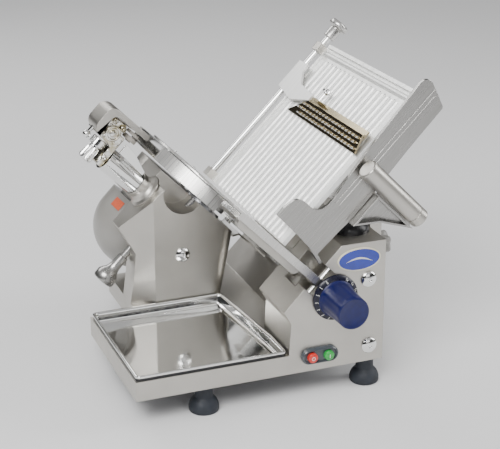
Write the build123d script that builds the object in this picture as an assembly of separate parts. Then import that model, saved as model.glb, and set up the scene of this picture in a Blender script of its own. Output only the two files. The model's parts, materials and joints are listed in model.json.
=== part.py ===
"""Gravity-feed meat slicer, in millimetres, +Z up, origin on the floor under the middle of its box.

Two frames are used.  The machine frame has X to the operator's right, Y away from the operator and
Z up, with the base's front left bottom edge over X = 0, Y = 0.  The feed frame is the machine frame
turned so that its local z runs up the chute, its local y stands square to the chute floor and its
local x is machine Y.  The knife spins about local z.
"""

import math
import os

from build123d import *

# ---- driving dimensions -------------------------------------------------------------------------
ORIGIN_X, ORIGIN_Y = 243.25, 195.0          # machine-frame point that becomes the row's origin

FEED_ANGLE = 45.0                          # slope of the chute, degrees
BASE_W, BASE_D = 396.0, 400.0
BASE_Z = 45.0                              # underside of the base above the floor
BASE_TOP = 242.0
DECK_Z = 76.0                              # top of the base under the tray and the knife housing
WALL = 3.0                                 # casting wall
FEET = ((112, 24), (378, 24), (112, 376), (378, 376))
TRAY_RIM_Z = 84.0
TRAY_RIM = ((1.5, 1.5), (238, 1.5), (238, 60), (222, 243), (1.5, 243))
FRONT_BLOCK_D = 100.0
SLOPE_S, LOW_SLOPE_S = -57.0, -145.0       # feed-frame heights of the two sloping base faces
KNIFE_WALL_F = 347.0                       # base face beside the knife, along the feed

KNIFE_Y, KNIFE_S, KNIFE_F = 275.0, 20.0, 336.0
KNIFE_R = 150.0
RING_R = 158.0
COVER_SCREW_R, COVER_SCREW_S = 154.3, 22.0
MOTOR_Y, MOTOR_S, MOTOR_F = 384.0, 32.0, 205.0
MOTOR_R = 73.0
HOUSING_Y0, HOUSING_Y1 = 245.0, 310.5
HOUSING_TOP_F, HOUSING_TOP_S = 304.0, 104.0
BELT_F0, BELT_F1 = 240.0, 256.0
KNIFE_PULLEY_R, MOTOR_PULLEY_R = 22.0, 11.0

DIAL_X, DIAL_Z = 313.2, 161.5
SWITCH_X, SWITCH_Z = 289.0, 71.0
CAP_SCREWS = ((368.5, 181.7), (372.4, 71.3))

GAUGE_F0, GAUGE_F1 = 338.5, 342.0
FLOOR_S, FLOOR_T = 14.0, 7.0               # chute floor's top face and thickness
FLOOR_F0, FLOOR_F1 = 344.0, 640.0
FLOOR_Y0, FLOOR_Y1 = 15.5, 308.0
RIB_COUNT, RIB_R, RIB_RISE = 17, 7.0, 4.0
PUSHER_ROD_Y, PUSHER_ROD_S, PUSHER_ROD_R = 326.0, 20.0, 5.5
PUSHER_F, PUSHER_LEAN, ARM_S = 513.0, 70.0, 27.0
CARRIAGE_X, CARRIAGE_Z, CARRIAGE_ROD_R = 362.0, 110.0, 10.0
POST_X0, POST_X1, POST_Y0, POST_Y1 = 399.5, 419.0, 62.0, 98.0
CLAMP_Y, CLAMP_Z = 80.0, 202.5

SHARP_Y, SHARP_F, SHARP_R = 290.0, 262.0, 20.0   # sharpener post axis, square to the chute floor
STONE_Y, STONE_S = 291.0, 186.0            # axis of both stones, along the feed
RUN = 0.05                                 # radial clearance of a running fit
GAP = 0.5                                  # gap between bodies that pass each other

FEED = Plane(origin=(0, 0, 0), x_dir=(0, 1, 0),
             z_dir=(math.cos(math.radians(FEED_ANGLE)), 0, math.sin(math.radians(FEED_ANGLE))))


# ---- helpers ------------------------------------------------------------------------------------
def fed(part):
    """Turn a part from the feed frame into the machine frame."""
    return FEED.location * part


def at_fs(f, s):
    """Machine X and Z of a point given along the feed and square to the chute floor."""
    a = math.radians(FEED_ANGLE)
    return f * math.cos(a) - s * math.sin(a), f * math.sin(a) + s * math.cos(a)


def block(x0, x1, y0, y1, z0, z1):
    return Pos((x0 + x1) / 2, (y0 + y1) / 2, (z0 + z1) / 2) * Box(x1 - x0, y1 - y0, z1 - z0)


def rod(x, y, z0, z1, r):
    """Cylinder along local z."""
    return Pos(x, y, (z0 + z1) / 2) * Cylinder(r, z1 - z0)


def rod_y(x, z, y0, y1, r):
    return Pos(x, (y0 + y1) / 2, z) * Rot(90, 0, 0) * Cylinder(r, y1 - y0)


def rod_x(y, z, x0, x1, r):
    return Pos((x0 + x1) / 2, y, z) * Rot(0, 90, 0) * Cylinder(r, x1 - x0)


def slab_y(points, y0, y1):
    """Closed outline of (x, z) points, extruded from y0 to y1."""
    face = make_face(Plane.XZ * Polyline(*points, close=True))
    return Pos(0, y0, 0) * extrude(face, amount=y1 - y0, dir=(0, 1, 0))


def turned(points, x=0.0, y=0.0):
    """Solid of revolution about local z through (x, y), from (radius, height) points."""
    face = make_face(Plane.XZ * Polyline(*points, close=True))
    return Pos(x, y, 0) * revolve(face, axis=Axis.Z)


def turned_y(points, x, z):
    """Solid of revolution about a line along Y through (x, z), from (radius, y) points."""
    face = make_face(Plane.XY * Polyline(*points, close=True))
    return Pos(x, 0, z) * revolve(face, axis=Axis.Y)


def sector(r, start, end, z0, z1):
    """Pie slice about local z, from angle start to end in degrees, wide enough to cover radius r."""
    steps = 12
    fan = [(0.0, 0.0)]
    for i in range(steps + 1):
        a = math.radians(start + (end - start) * i / steps)
        fan.append((r * math.cos(a), r * math.sin(a)))
    return Pos(0, 0, z0) * extrude(make_face(Polyline(*fan, close=True)), amount=z1 - z0)


def grown(points, y0, y1, by):
    """An outline of (x, z) points made smaller or larger by a wall thickness, and extruded."""
    face = make_face(Plane.XZ * Polyline(*points, close=True))
    face = offset(face, amount=by, kind=Kind.INTERSECTION)
    return Pos(0, y0, 0) * extrude(face, amount=y1 - y0, dir=(0, 1, 0))


# ---- base ---------------------------------------------------------------------------------------
def front_outline(bottom):
    return [(230, bottom), (BASE_W, bottom), (BASE_W, BASE_TOP), (323, BASE_TOP), (231, 148),
            (236, 140), (243, 128), (242, 108), (240, DECK_Z), (230, DECK_Z)]


def rear_outline(bottom):
    return [(230, bottom), (BASE_W, bottom), (BASE_W, BASE_TOP), (323, BASE_TOP),
            at_fs(KNIFE_WALL_F, SLOPE_S), at_fs(KNIFE_WALL_F, LOW_SLOPE_S), (281, DECK_Z),
            (230, DECK_Z)]


def gauge_slots(extra):
    """The pocket for the gauge slide and the notch in the front panel, grown by a wall."""
    pocket = block(25 - extra, 66 + extra, -110 - extra, -50, 309 - extra, 362 + extra)
    notch = block(-1, 25, -86 - extra, -50, 315 - extra, 362 + extra)
    return fed(pocket + notch)


def base_housing():
    outer = slab_y(front_outline(BASE_Z), 0, FRONT_BLOCK_D)
    outer += slab_y(rear_outline(BASE_Z), FRONT_BLOCK_D, BASE_D)
    outer += block(0, 232, 0, HOUSING_Y0, BASE_Z, DECK_Z)
    outer += block(75, 232, HOUSING_Y0, BASE_D, BASE_Z, DECK_Z)
    cavity = grown(front_outline(BASE_Z - 20), WALL, FRONT_BLOCK_D - WALL, -WALL)
    cavity += grown(rear_outline(BASE_Z - 20), WALL, BASE_D - WALL, -WALL)
    cavity += block(WALL, 240, WALL, HOUSING_Y0 - WALL, BASE_Z - 20, DECK_Z - WALL)
    cavity += block(75 + WALL, 240, HOUSING_Y0 - 10, BASE_D - WALL, BASE_Z - 20, DECK_Z - WALL)
    cavity -= gauge_slots(WALL)
    body = outer - cavity - gauge_slots(0)
    body += tray_shape(0.5, 60, DECK_Z)
    body -= tray_shape(3.5, 63, DECK_Z + 1)
    body -= block(BASE_W - 6, BASE_W + 6, 29, 345, 94, 126)
    body -= rod_y(DIAL_X, DIAL_Z, -1, 10, 6.5)
    body -= block(SWITCH_X - 19, SWITCH_X + 19, -1, 10, SWITCH_Z - 9, SWITCH_Z + 9)
    body -= rod(150, 330, DECK_Z - 10, DECK_Z + 10, 12)
    body -= rod_y(130, 60, BASE_D - 10, BASE_D + 5, 8)
    body -= fed(rod(45, -98, 300, 370, 6))
    for x, z in CAP_SCREWS:
        body -= rod_y(x, z, -1, 10, 4)
    return body


def base_bottom_cover():
    plate = block(WALL + 0.2, BASE_W - WALL - 0.2, WALL + 0.2, HOUSING_Y0 - WALL - 0.2,
                  BASE_Z + 1, BASE_Z + 3)
    plate += block(78.2, BASE_W - WALL - 0.2, HOUSING_Y0 - 20, BASE_D - WALL - 0.2,
                   BASE_Z + 1, BASE_Z + 3)
    for x, y in FEET:
        plate -= rod(x, y, BASE_Z - 5, BASE_Z + 10, 7)
    return plate


def foot(x, y):
    profile = [(0, 0), (21, 0), (23, 3), (23, 9), (20, 17), (16, 22), (13.5, 24), (13.5, 38),
               (14.5, BASE_Z + 0.7), (6, BASE_Z + 0.7), (6, BASE_Z + 9), (0, BASE_Z + 9)]
    return turned(profile, x, y)


def tray_shape(inset, z0, z1):
    """Prism on the tray's rim outline, made smaller by an inset, with rounded corners."""
    face = make_face(Polyline(*TRAY_RIM, close=True))
    face = offset(face, amount=-inset, kind=Kind.INTERSECTION)
    face = fillet(face.vertices().sort_by(Axis.Y)[-2:], 9 - inset)
    face = fillet(face.vertices().sort_by(Axis.Y)[:2], 7 - inset)
    return Pos(0, 0, z0) * extrude(face, amount=z1 - z0)


def slice_tray():
    """Drip pan with a narrow rim; its right side runs at an angle beside the sloping face."""
    pan = tray_shape(0.1, TRAY_RIM_Z - 4, TRAY_RIM_Z) + tray_shape(4, 64, TRAY_RIM_Z - 2)
    return pan - tray_shape(5.6, 66, TRAY_RIM_Z + 1)


def tray_gasket():
    return tray_shape(0.6, DECK_Z, TRAY_RIM_Z - 4) - tray_shape(3.8, DECK_Z - 1, TRAY_RIM_Z)


def front_badge():
    face = Plane.XZ * Ellipse(35.5, 18.5)
    return Pos(351.5, 0, 216.5) * extrude(face, amount=2.5, dir=(0, -1, 0))


def switch_bezel():
    face = Plane.XZ * SlotOverall(60, 25)
    body = Pos(SWITCH_X, 0, SWITCH_Z) * extrude(face, amount=8, dir=(0, -1, 0))
    body += block(SWITCH_X - 18.5, SWITCH_X + 18.5, 0, 22, SWITCH_Z - 8.5, SWITCH_Z + 8.5)
    for side in (-1, 1):
        body -= rod_y(SWITCH_X + side * 13.5, SWITCH_Z - 1, -9, -1, 8.4)
    return body


def push_button(side):
    x = SWITCH_X + side * 13.5
    return turned_y([(0, -12), (6.8, -12), (7.9, -11), (7.9, -4.0), (0, -4.0)], x, SWITCH_Z - 1)


def thickness_dial():
    """Skirt and tapered grip, with a bore for its spindle."""
    profile = [(6, -0.6), (36, -0.6), (36, -5), (34, -8), (30, -9), (26, -66), (24, -68), (0, -68),
               (0, -20), (6, -20)]
    return turned_y(profile, DIAL_X, DIAL_Z)


def index_spindle():
    body = rod_y(DIAL_X, DIAL_Z, -20, 20, 6)
    cam = rod_y(DIAL_X + 4, DIAL_Z - 3, 8, 16, 10)
    return body + cam


def panel_screws():
    heads = Part()
    for x, z in CAP_SCREWS:
        heads += turned_y([(0, -6.5), (5, -6), (10, -3), (13, 0), (4, 0), (4, 8), (0, 8)], x, z)
    return heads


def top_cap():
    z = BASE_TOP
    return turned([(0, z), (29, z), (29, z + 5), (26, z + 11), (19, z + 16), (10, z + 19), (0, z + 20)],
                  363, 57)


def cord_gland():
    return turned_y([(5, BASE_D + 14), (9, BASE_D + 14), (11, BASE_D + 4), (11, BASE_D),
                     (8, BASE_D), (8, BASE_D - 6), (5, BASE_D - 6)], 130, 60)


# ---- thickness gauge ----------------------------------------------------------------------------
def gauge_plate():
    """Plate beside the knife with a deep near edge, hollowed to a clear curve round the blade."""
    plate = block(3, 232, SLOPE_S + 3, 122, GAUGE_F0, GAUGE_F1)
    plate += block(3, 22, -80, -50, GAUGE_F0, GAUGE_F1) + block(3, 6, -80, 104, 330, GAUGE_F1)
    plate -= rod(KNIFE_Y, KNIFE_S, GAUGE_F0 - 40, GAUGE_F1 + 5, KNIFE_R + 3)
    past_ring = sector(400, 120, 161.5, GAUGE_F0 - 5, GAUGE_F1 + 5)
    past_ring &= rod(0, 0, GAUGE_F0 - 5, GAUGE_F1 + 5, RING_R + 1)
    return fed(plate - Pos(KNIFE_Y, KNIFE_S, 0) * past_ring)


def gauge_bracket():
    """Rib under the gauge plate, and the leg that runs on the slide rod."""
    rib = block(14, 26, -30, 84, GAUGE_F0 - 19, GAUGE_F0)
    for s in (-30, 84):
        rib += Pos(20, s, GAUGE_F0 - 9.5) * Rot(0, 90, 0) * Cylinder(9.5, 12)
    leg = block(33, 57, -106, 10, GAUGE_F0 - 12, GAUGE_F0)
    leg += block(14, 57, -20, 10, GAUGE_F0 - 12, GAUGE_F0)
    leg -= rod(45, -98, 300, 370, 6 + RUN)
    return fed(rib + leg)


def gauge_slide_rod():
    return fed(rod(45, -98, 306, 365, 6))


# ---- knife drive --------------------------------------------------------------------------------
def knife_housing():
    """Casting that carries the knife shaft and encloses the belt."""
    top_f, top_s = HOUSING_TOP_F, HOUSING_TOP_S
    front = [(74, DECK_Z), (80, 120), (84, 165), at_fs(190, top_s), at_fs(272, top_s),
             at_fs(top_f, top_s - 4), at_fs(top_f, -48), (228, DECK_Z)]
    body = slab_y(front, HOUSING_Y0, HOUSING_Y1)
    column = body.edges().filter_by_position(Axis.Y, HOUSING_Y0, HOUSING_Y0)
    body = fillet(column.sort_by(Axis.X)[-1], 24)
    case = rod(KNIFE_Y + 8, KNIFE_S, 236, top_f, 52)
    case += rod(MOTOR_Y, MOTOR_S, 236, top_f, MOTOR_R + 1)
    case += block(KNIFE_Y, MOTOR_Y, KNIFE_S - 50, top_s, 236, top_f)
    body += fed(case) & block(0, 400, HOUSING_Y0, 600, 0, 500)
    # the left front corner slopes back from a straight vertical crease
    corner = extrude(make_face(Polyline((117, 240), (30, 240), (30, 300), close=True)), amount=400)
    body -= corner
    scoop_x, scoop_z = at_fs(300, 72)
    body -= rod_y(scoop_x, scoop_z, HOUSING_Y0 - 5, 300, 34)
    belt_room = rod(KNIFE_Y, KNIFE_S, 236 + 2, BELT_F1 + 4, 27)
    belt_room += rod(MOTOR_Y, MOTOR_S, 230, BELT_F1 + 4, 54)
    belt_room += block(KNIFE_Y, MOTOR_Y, KNIFE_S - 20, KNIFE_S + 30, 236 + 2, BELT_F1 + 4)
    pulley_room = rod(KNIFE_Y + 20, KNIFE_S, 236 + 2, BELT_F1 + 4, 46)
    body -= fed(belt_room + pulley_room)
    body -= fed(rod(KNIFE_Y, KNIFE_S, 230, top_f + 5, 21))
    lower = [(96, DECK_Z - 5), (92, 120), (96, 160), (130, 190), (176, 160), (200, DECK_Z - 5)]
    body -= slab_y(lower, HOUSING_Y0 + 16, HOUSING_Y1 - 12)
    body -= fed(rod(300, 53, 130, 215, 6.3))
    body -= fed(Pos(SHARP_Y, 100, SHARP_F) * Rot(90, 0, 0) * Cylinder(6.0, 30))
    leg = [(195, DECK_Z), (219, DECK_Z), (219, 178), (195, 154)]
    return body + slab_y(leg, HOUSING_Y1 - 2, 372)


def bearing_carrier():
    tube = rod(KNIFE_Y, KNIFE_S, BELT_F1 + 6, 311, 21)
    tube -= rod(KNIFE_Y, KNIFE_S, 200, 330, 16)
    tube += rod(KNIFE_Y, KNIFE_S, HOUSING_TOP_F, 308, 34) - rod(KNIFE_Y, KNIFE_S, 200, 330, 16)
    return fed(tube)


def knife_bearings():
    pair = Part()
    for f in (BELT_F1 + 7, 299):
        pair += rod(KNIFE_Y, KNIFE_S, f, f + 11, 16) - rod(KNIFE_Y, KNIFE_S, f - 1, f + 12, 9 + RUN)
    return fed(pair)


def knife_shaft():
    shaft = rod(KNIFE_Y, KNIFE_S, 238.5, 318, 9) + rod(KNIFE_Y, KNIFE_S, 313, 321, 34)
    return fed(shaft)


def knife_pulley():
    rim = rod(KNIFE_Y, KNIFE_S, BELT_F0, BELT_F1, KNIFE_PULLEY_R)
    return fed(rim - rod(KNIFE_Y, KNIFE_S, 200, 330, 9))


def knife():
    """Dished round blade with its cutting edge nearest the chute."""
    f = KNIFE_F
    profile = [(0, 321), (62, 321), (112, 323.5), (138, 327.5), (149.2, f - 0.8), (KNIFE_R, f - 0.4),
               (149.4, f), (137, f - 3.2), (118, f - 5), (60, f - 6), (0, f - 6)]
    return fed(turned(profile, KNIFE_Y, KNIFE_S))


def knife_cover():
    """Fixed plate over the blade's face, held to the guard ring behind the cut."""
    plate = rod(KNIFE_Y, KNIFE_S, KNIFE_F + 0.8, KNIFE_F + 3.8, 132)
    tongue = block(KNIFE_Y, KNIFE_Y + 160, KNIFE_S - 40, KNIFE_S + 40, KNIFE_F + 0.8, KNIFE_F + 3.8)
    plate += tongue & rod(KNIFE_Y, KNIFE_S, KNIFE_F, KNIFE_F + 5, RING_R)
    for s in (-COVER_SCREW_S, COVER_SCREW_S):
        plate -= rod(KNIFE_Y + COVER_SCREW_R, KNIFE_S + s, 320, 350, 2.0)
    return fed(plate)


def cover_screws():
    screws = Part()
    for s in (-COVER_SCREW_S, COVER_SCREW_S):
        screws += turned([(0, KNIFE_F - 8), (2.0, KNIFE_F - 8), (2.0, KNIFE_F + 3.8),
                          (4.6, KNIFE_F + 3.8), (3.6, KNIFE_F + 5.6), (0, KNIFE_F + 6.2)],
                         KNIFE_Y + COVER_SCREW_R, KNIFE_S + s)
    return fed(screws)


def ring_guard():
    """Channel round the blade's rim, open where it cuts and where the stones reach the edge."""
    band = [(140, 312), (RING_R, 312), (RING_R, KNIFE_F - 0.6), (RING_R - 5, KNIFE_F - 0.6),
            (RING_R - 6, 316), (140, 316)]
    ring = turned(band)
    ring -= sector(400, 160, 238, 300, 345)
    ring -= sector(400, 68, 112, 316, 345)
    outside = rod(0, 0, 300, 320, 300) - rod(0, 0, 299, 321, 147)
    ring -= outside & sector(400, 68, 112, 300, 345)
    for angle in (-48, -8):
        x = 146 * math.cos(math.radians(angle))
        y = 146 * math.sin(math.radians(angle))
        ring += rod(x, y, HOUSING_TOP_F, 313, 7)
    for s in (-COVER_SCREW_S, COVER_SCREW_S):
        ring += rod(COVER_SCREW_R - 1.5, s, 312, KNIFE_F + 0.8, 3.6)
        ring -= rod(COVER_SCREW_R, s, KNIFE_F - 8, 350, 2.0)
    return fed(Pos(KNIFE_Y, KNIFE_S, 0) * ring)


def drive_belt():
    outer = belt_loop(2.8)
    inner = belt_loop(0.3)
    return fed(Pos(0, 0, BELT_F0 + 2) * (extrude(outer, amount=12) - extrude(inner, amount=12)))


def belt_loop(extra):
    """Outline of two arcs and their common tangents, round both pulleys."""
    big, small = KNIFE_PULLEY_R + extra, MOTOR_PULLEY_R + extra
    span = math.hypot(MOTOR_Y - KNIFE_Y, MOTOR_S - KNIFE_S)
    turn = math.degrees(math.atan2(MOTOR_S - KNIFE_S, MOTOR_Y - KNIFE_Y))
    lean = math.asin((big - small) / span)
    sides = [(big * math.sin(lean), big * math.cos(lean)),
             (span + small * math.sin(lean), small * math.cos(lean)),
             (span + small * math.sin(lean), -small * math.cos(lean)),
             (big * math.sin(lean), -big * math.cos(lean))]
    loop = Circle(big) + Pos(span, 0) * Circle(small) + make_face(Polyline(*sides, close=True))
    return Pos(KNIFE_Y, KNIFE_S, 0) * Rot(0, 0, turn) * loop


def motor_pulley():
    rim = rod(MOTOR_Y, MOTOR_S, BELT_F0, BELT_F1, MOTOR_PULLEY_R)
    return fed(rim - rod(MOTOR_Y, MOTOR_S, 200, 330, 7))


def motor_shaft():
    shaft = rod(MOTOR_Y, MOTOR_S, 158, 257, 7)
    return fed(shaft + rod(MOTOR_Y, MOTOR_S, 170, 222, 30))


def motor_housing():
    """Domed shell closed by a flange that bolts under the belt case."""
    shell = rod(MOTOR_Y, MOTOR_S, MOTOR_F, 231, MOTOR_R)
    shell += Pos(MOTOR_Y, MOTOR_S, MOTOR_F) * Sphere(MOTOR_R)
    shell -= rod(MOTOR_Y, MOTOR_S, 231, 320, MOTOR_R + 10)
    hollow = rod(MOTOR_Y, MOTOR_S, MOTOR_F, 226, MOTOR_R - 4)
    hollow += Pos(MOTOR_Y, MOTOR_S, MOTOR_F) * Sphere(MOTOR_R - 4)
    hollow -= rod(MOTOR_Y, MOTOR_S, 226, 320, MOTOR_R + 10)
    shell -= hollow
    boss = Pos(MOTOR_Y, MOTOR_S, MOTOR_F) * Sphere(MOTOR_R - 1)
    shell += rod(MOTOR_Y, MOTOR_S, 132, 157, 12) & boss
    shell -= rod(MOTOR_Y, MOTOR_S, 150, 240, 7.4)
    shell += rod(MOTOR_Y, MOTOR_S, 226, 236, 56) - rod(MOTOR_Y, MOTOR_S, 200, 240, 7.4)
    return fed(shell)


def motor_stator():
    core = rod(MOTOR_Y, MOTOR_S, 174, 218, 52)
    return fed(core - rod(MOTOR_Y, MOTOR_S, 160, 240, 31))


def cover_knob():
    """Hand screw that clamps the rear of the knife housing."""
    profile = [(0, 104), (15, 104), (18.5, 107), (18.5, 119), (15, 124), (10.5, 129), (9, 137),
               (9, 157), (6, 158), (6, 205), (0, 205)]
    return fed(turned(profile, 300, 53))


def housing_screw():
    return turned_y([(0, HOUSING_Y0 - 7), (6, HOUSING_Y0 - 6.2), (11, HOUSING_Y0 - 3),
                     (12.5, HOUSING_Y0 - 0.1), (0, HOUSING_Y0 - 0.1)], 156.5, 160)


# ---- carriage -----------------------------------------------------------------------------------
def carriage_rod():
    return rod_y(CARRIAGE_X, CARRIAGE_Z, WALL, BASE_D - WALL, CARRIAGE_ROD_R)


def carriage_slider():
    body = block(344, 380, 56, 104, 92, 128)
    return body - rod_y(CARRIAGE_X, CARRIAGE_Z, 50, 110, CARRIAGE_ROD_R + RUN)


def carriage_post():
    under = FLOOR_S - FLOOR_T
    outline = [(380, 98), (POST_X1, 98), (POST_X1, 262), at_fs(505, -60), at_fs(505, under),
               at_fs(430, under), at_fs(430, -34), (POST_X0, 252), (POST_X0, 122), (380, 122)]
    post = slab_y(outline, POST_Y0, POST_Y1)
    return post - rod_x(CLAMP_Y, CLAMP_Z, 404, 430, 4 + RUN)


def clamp_knob():
    lobes = rod_x(CLAMP_Y, CLAMP_Z, POST_X1 + 0.5, 440, 13)
    lobes += rod_x(CLAMP_Y, CLAMP_Z, 406, 430, 4)
    for i in range(5):
        a = math.radians(72 * i)
        lobes += rod_x(CLAMP_Y + 13 * math.cos(a), CLAMP_Z + 13 * math.sin(a), 423, 438.5, 7)
    return lobes


def chute_floor():
    """Ribbed aluminium floor with a flat border and a raised rail at its upper end."""
    plate = block(FLOOR_Y0, FLOOR_Y1, FLOOR_S - FLOOR_T, FLOOR_S, FLOOR_F0, FLOOR_F1)
    pitch = (FLOOR_Y1 - FLOOR_Y0 - 24) / RIB_COUNT
    for i in range(RIB_COUNT):
        y = FLOOR_Y0 + 12 + pitch * (i + 0.5)
        rib = rod(y, FLOOR_S + RIB_RISE - RIB_R, FLOOR_F0 + 2, FLOOR_F1 - 28, RIB_R)
        plate += rib & block(FLOOR_Y0, FLOOR_Y1, FLOOR_S - 2, FLOOR_S + 9, FLOOR_F0, FLOOR_F1)
    plate += block(FLOOR_Y0, FLOOR_Y1, FLOOR_S - 1, FLOOR_S + 5, FLOOR_F1 - 6, FLOOR_F1)
    ridge = Pos((FLOOR_Y0 + FLOOR_Y1) / 2, FLOOR_S - 1, FLOOR_F1 - 16) * Rot(0, 90, 0)
    plate += ridge * Cylinder(5, FLOOR_Y1 - FLOOR_Y0)
    return fed(plate)


def chute_side_plate():
    """Near side of the chute with the rounded guard that keeps the hand from the blade."""
    corners = [(484, 6.4), (541, 12), (621, 17), (652, 19.2), (660, 17.5), (664.6, 12.8), (666, 5),
               (659.5, -15), (652, -36), (649, -38), (571, -40), (500, -44), (434, -45.5),
               (414, -43.5), (366.6, -41), (362, -56), (357, -56), (365.7, -23), (368.6, 15),
               (369.8, 53), (371, 54), (384, 53.8), (396, 51.5), (403, 49), (408, 44.5), (411, 38),
               (411.6, 30), (411.6, 18), (413, 12), (417, 6.8), (422, 3.5), (429, 1.4), (438, 0.5),
               (452, 1.2), (470, 3.7)]
    outline = [at_fs(f, s) for f, s in corners]
    plate = slab_y(outline, FLOOR_Y0 - 5.5, FLOOR_Y0)
    plate -= fed(block(FLOOR_Y0 - 6, FLOOR_Y0 - 4.7, -7, -4, 440, 680))
    plate += fed(block(FLOOR_Y0 - 6.3, FLOOR_Y0 - 5.3, -17, -13.5, 440, 655))
    flange = block(FLOOR_Y0 - 1, FLOOR_Y0 + 30, FLOOR_S - FLOOR_T - 6, FLOOR_S - FLOOR_T, 440, 640)
    return plate + fed(flange)


def chute_far_rail():
    """Strip along the chute's far side that carries the end blocks."""
    return fed(block(FLOOR_Y1, FLOOR_Y1 + 6, FLOOR_S - FLOOR_T - 8, FLOOR_S + 2, FLOOR_F0, FLOOR_F1))


def handle_bracket():
    """Triangular plate below the side plate, with a raised edge all round."""
    seat = [(432, -46), (512, -46), (515, -112), (496, -124), (489.5, -128), (463, -78)]
    web = [(432, -46), (489.5, -46), (489.5, -128), (463, -78)]
    edge = [at_fs(f, s) for f, s in web]
    bracket = slab_y([at_fs(f, s) for f, s in seat], 4, 7)
    return bracket + slab_y(edge, -6, 14) - (grown(edge, -7, 4, -3) + grown(edge, 7, 15, -3))


def handle_grip():
    grip = Pos(-10, -59.5, 507) * Rot(90, 0, 0) * Cylinder(15.5, 129)
    grip = fillet(grip.edges().filter_by(GeomType.CIRCLE), 3)
    ring = Pos(-10, -108, 507) * Rot(90, 0, 0) * (Cylinder(17, 2) - Cylinder(14.6, 3))
    seat = [at_fs(560, 60), at_fs(560, -160), at_fs(430, -160), at_fs(430, 60)]
    return fed(grip - ring) - slab_y(seat, 4, 60)


def pusher_rod():
    return fed(rod(PUSHER_ROD_Y, PUSHER_ROD_S, 346, 658, PUSHER_ROD_R))


def rod_end_blocks():
    pair = Part()
    for f in (345, 618):
        lug = block(FLOOR_Y1 + 6, PUSHER_ROD_Y + 9, PUSHER_ROD_S - 9, PUSHER_ROD_S + 9, f, f + 15)
        lug = fillet(lug.edges().filter_by(Axis.Z).sort_by(Axis.X)[-2:], 5)
        pair += lug - rod(PUSHER_ROD_Y, PUSHER_ROD_S, f - 1, f + 16, PUSHER_ROD_R)
    return fed(pair)


def rod_knob():
    bore = PUSHER_ROD_R + RUN
    profile = [(bore, 648), (9, 648), (10, 650), (10, 667), (15, 669), (17, 672), (17, 677),
               (14, 680), (0, 681), (0, 659), (bore, 659)]
    return fed(turned(profile, PUSHER_ROD_Y, PUSHER_ROD_S))


def pusher_ring():
    """Collar that slides on the rod and carries the swinging arm."""
    y, s = PUSHER_ROD_Y, PUSHER_ROD_S
    return fed(rod(y, s, 560, 572, 9) - rod(y, s, 550, 580, PUSHER_ROD_R + RUN))


def pusher_arm():
    """Forked sleeve on the rod, with a plate that narrows towards the grip plate."""
    y, s = PUSHER_ROD_Y, PUSHER_ROD_S
    body = rod(y, s, 536, 590, 9.5) - rod(y, s, 560 - GAP, 572 + GAP, 12)
    outline = [(590, y + 4), (536, y + 4), (526, 268), (540.5, 216), (552, 216), (557, 271),
               (577, 297), (590, 297)]
    plate = extrude(make_face(Plane.ZX * Polyline(*outline, close=True)), amount=4, dir=(0, 1, 0))
    body += Pos(0, ARM_S, 0) * plate
    return fed(body - rod(y, s, 500, 620, PUSHER_ROD_R + RUN) - rod(y, s, 560 - GAP, 572 + GAP, 9.3))


def pusher_plate():
    """Leaning grip plate with rows of teeth, and the flange that carries it under the arm."""
    edge = [(17, 0), (268, 0), (213, 30), (17, 30)]
    plate = Pos(0, 0, -3) * extrude(make_face(Polyline(*edge, close=True)), amount=3)
    for row in range(3):
        for i in range(18):
            y = 24 + 11.8 * i + (5.9 if row % 2 else 0)
            tooth = Cone(2.2, 0.5, 6, align=(Align.CENTER, Align.CENTER, Align.MIN))
            plate += Pos(y, 6 + 8.5 * row, -3) * Rot(180, 0, 0) * tooth
    plate = Pos(0, FLOOR_S + RIB_RISE + 0.4, PUSHER_F) * Rot(PUSHER_LEAN, 0, 0) * plate
    flange = block(17, 236, ARM_S - 3, ARM_S - 0.3, PUSHER_F + 24, PUSHER_F + 37)
    flange += block(17, 214, ARM_S - 1, ARM_S + 2.5, PUSHER_F + 27, PUSHER_F + 30)
    flange += block(172, 188, ARM_S, ARM_S + 12, PUSHER_F + 31, PUSHER_F + 35)
    flange += block(172, 188, ARM_S - 1, ARM_S + 2, PUSHER_F + 27, PUSHER_F + 35)
    return fed(plate + flange)


def pusher_screw():
    """Wing screw that fixes the grip plate."""
    f = PUSHER_F + 35
    screw = turned([(0, f), (3, f), (3, f + 14), (5, f + 16), (5, f + 21), (3, f + 23), (0, f + 23)],
                   180, ARM_S + 7)
    wing = extrude(SlotOverall(24, 9), amount=4)
    return fed(screw + Pos(180, ARM_S + 7, f + 17) * wing)


# ---- sharpener ----------------------------------------------------------------------------------
def post_s(s0, s1, r, y=None, f=None):
    """Cylinder square to the chute floor."""
    y = SHARP_Y if y is None else y
    f = SHARP_F if f is None else f
    return Pos(y, (s0 + s1) / 2, f) * Rot(90, 0, 0) * Cylinder(r, s1 - s0)


def sharpener_collar():
    flare = [(6.5, 104), (29.5, 104), (29.5, 107), (25, 110), (22.3, 114), (20.8, 119), (21.5, 128),
             (6.5, 128)]
    return fed(Pos(SHARP_Y, 0, SHARP_F) * Rot(-90, 0, 0) * turned(flare))


def sharpener_pin():
    return fed(post_s(88, 176, 6))


def sharpener_post():
    return fed(post_s(129, 196, SHARP_R) - post_s(120, 178, 6 + RUN))


def sharpener_body():
    body = block(SHARP_Y - 20, SHARP_Y + 20, 196.3, 238, 280.5, 322)
    body += block(SHARP_Y - 15, SHARP_Y + 15, 196.3, 208.5, SHARP_F - 16, 281)
    body -= block(SHARP_Y - 14, SHARP_Y + 16, 180, 208, 303.5, 330)
    body += block(SHARP_Y - 6, SHARP_Y + 8, 174, 200, 289, 303.5)
    body += rod(STONE_Y, STONE_S, 300, 322.4, 2.5)
    return fed(body)


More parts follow.
